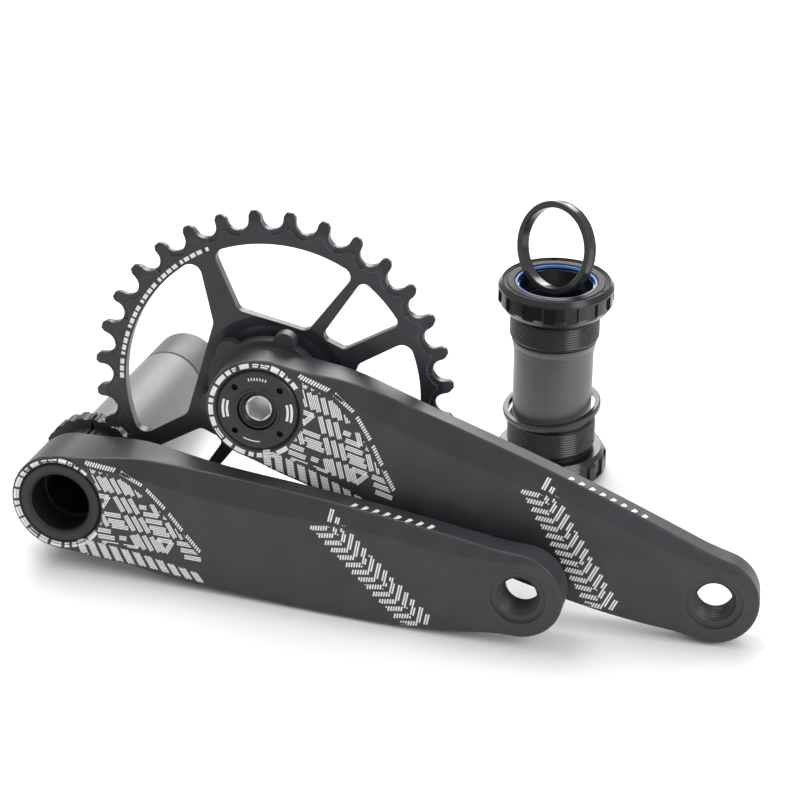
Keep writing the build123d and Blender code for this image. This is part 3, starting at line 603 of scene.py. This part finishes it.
def around(radius, angle):
    return radius * math.cos(math.radians(angle)), radius * math.sin(math.radians(angle))


def all_prints():
    white = print_finish()
    bolt = joints["crank_bolt_turn"]
    adjuster = joints["preload_adjuster_turn"]
    right_pedal = mounts["right_pedal_thread"]["pos_m"]
    left_pedal = mounts["left_pedal_thread"]["pos_m"]
    drive = CrankAxes("drive_arm", bolt["pos_m"], bolt["axis"], right_pedal)
    plain = CrankAxes("non_drive_arm", adjuster["pos_m"], adjuster["axis"], left_pedal)
    arm_print(drive, "drive_crank", "drive_arm_print", white)
    arm_print(plain, "non_drive_crank", "non_drive_arm_print", white)
    top_dashes(drive, "drive_crank", "drive_arm_dashes", white)
    top_dashes(plain, "non_drive_crank", "non_drive_arm_dashes", white)
    cap_print(drive, white)
    ring_print(drive, white)


# ------------------------------------------------------------------- threads
def turned_ring(name, origin, axis, profile, body, material, sides=96):
    """A closed ring turned about an axis from (radius, along) points in mm."""
    axis = Vector(axis).normalized()
    side = axis.orthogonal().normalized()
    other = axis.cross(side)
    mesh = bmesh.new()
    loops = []
    for index in range(sides):
        turn = 2 * math.pi * index / sides
        spoke = side * math.cos(turn) + other * math.sin(turn)
        points = [Vector(origin) + (spoke * radius + axis * along) * MM for radius, along in profile]
        loops.append([mesh.verts.new(point) for point in points])
    for index in range(sides):
        low, high = loops[index], loops[(index + 1) % sides]
        for row in range(len(profile)):
            following = (row + 1) % len(profile)
            mesh.faces.new((low[row], low[following], high[following], high[row]))
    bmesh.ops.recalc_face_normals(mesh, faces=mesh.faces)
    data = bpy.data.meshes.new(name)
    mesh.to_mesh(data)
    mesh.free()
    add_piece(data, body, material)


def ridge_profile(length, pitch, root, crest, buried):
    """The outline of a thread's ridges, closed on the side that lies in the metal."""
    count = int(length / pitch)
    start = -count * pitch / 2
    profile = []
    for index in range(count):
        low = start + index * pitch
        profile += [(root, low), (crest, low + 0.42 * pitch), (crest, low + 0.58 * pitch)]
    end = start + count * pitch
    return profile + [(root, end), (buried, end), (buried, start)]


def thread_ridges(name, mount, pitch, height, body, material):
    """Ridges on a mount's wall: outward from it, or inward where the height is negative."""
    radius = mount["dims"]["r_mm"]
    seat = math.copysign(RIDGE_OFFSET, height)
    buried = radius - math.copysign(RIDGE_ROOT_DEPTH, height)
    profile = ridge_profile(mount["dims"]["length_mm"], pitch, radius + seat, radius + height, buried)
    turned_ring(name, mount["pos_m"], mount["axis"], profile, body, material)


def all_threads(arm, cup):
    for side, crank in (("right", "drive_crank"), ("left", "non_drive_crank")):
        pedal = mounts[f"{side}_pedal_thread"]
        thread_ridges(f"{side}_pedal_ridges", pedal, PEDAL_THREAD_PITCH, -0.62, crank, arm)
        shell = mounts[f"{side}_cup_thread"]
        thread_ridges(f"{side}_cup_ridges", shell, CUP_THREAD_PITCH, 0.36, f"{side}_cup", cup)


# ------------------------------------------------------------ stage and light
def make_camera():
    camera = bpy.data.objects.new("camera", bpy.data.cameras.new("camera"))
    bpy.context.scene.collection.objects.link(camera)
    camera.location = CAMERA_PLACE
    camera.rotation_mode = "QUATERNION"
    camera.rotation_quaternion = (CAMERA_TARGET - CAMERA_PLACE).to_track_quat("-Z", "Y")
    camera.data.lens = CAMERA_LENS
    camera.data.sensor_width = 36
    camera.data.clip_start = 0.01
    bpy.context.scene.camera = camera


def make_floor():
    data = bpy.data.meshes.new("floor")
    half = 6.0
    corners = [(-half, -half, 0), (half, -half, 0), (half, half, 0), (-half, half, 0)]
    data.from_pydata(corners, [], [(0, 1, 2, 3)])
    floor = bpy.data.objects.new("floor", data)
    bpy.context.scene.collection.objects.link(floor)
    finish = Finish("floor_white", (0.93, 0.925, 0.92), 0.75)
    data.materials.append(finish.material)


def make_light(name, place, target, size, power, colour=(1, 1, 1)):
    data = bpy.data.lights.new(name, "AREA")
    data.shape = "DISK"
    data.size = size
    data.energy = power
    data.color = colour
    light = bpy.data.objects.new(name, data)
    bpy.context.scene.collection.objects.link(light)
    light.location = place
    light.rotation_mode = "QUATERNION"
    light.rotation_quaternion = (Vector(target) - Vector(place)).to_track_quat("-Z", "Y")


def make_world():
    world = bpy.data.worlds.new("studio")
    bpy.context.scene.world = world
    world.use_nodes = True
    background = world.node_tree.nodes["Background"]
    background.inputs["Color"].default_value = (1.0, 1.0, 1.0, 1)
    background.inputs["Strength"].default_value = 0.62


def make_stage():
    make_camera()
    make_floor()
    make_world()
    make_light("key", (-0.45, 0.35, 1.2), (0, 0, 0), 0.9, 11.0, (1.0, 0.985, 0.96))
    make_light("back", (0.0, 1.35, 0.80), (0, 0, 0.05), 1.1, 16.0, (1.0, 0.97, 0.94))
    make_light("fill", (0.9, -0.5, 0.7), (0, 0, 0.03), 0.7, 5.0, (0.97, 0.985, 1.0))
    scene = bpy.context.scene
    scene.view_settings.view_transform = "Standard"
    scene.view_settings.look = "None"
    scene.view_settings.exposure = 0.0


make_stage()
paint_all()
all_prints()
all_threads(
    frame["nodes"]["drive_arm"].material_slots[0].material,
    frame["nodes"]["left_cup"].material_slots[0].material,
)
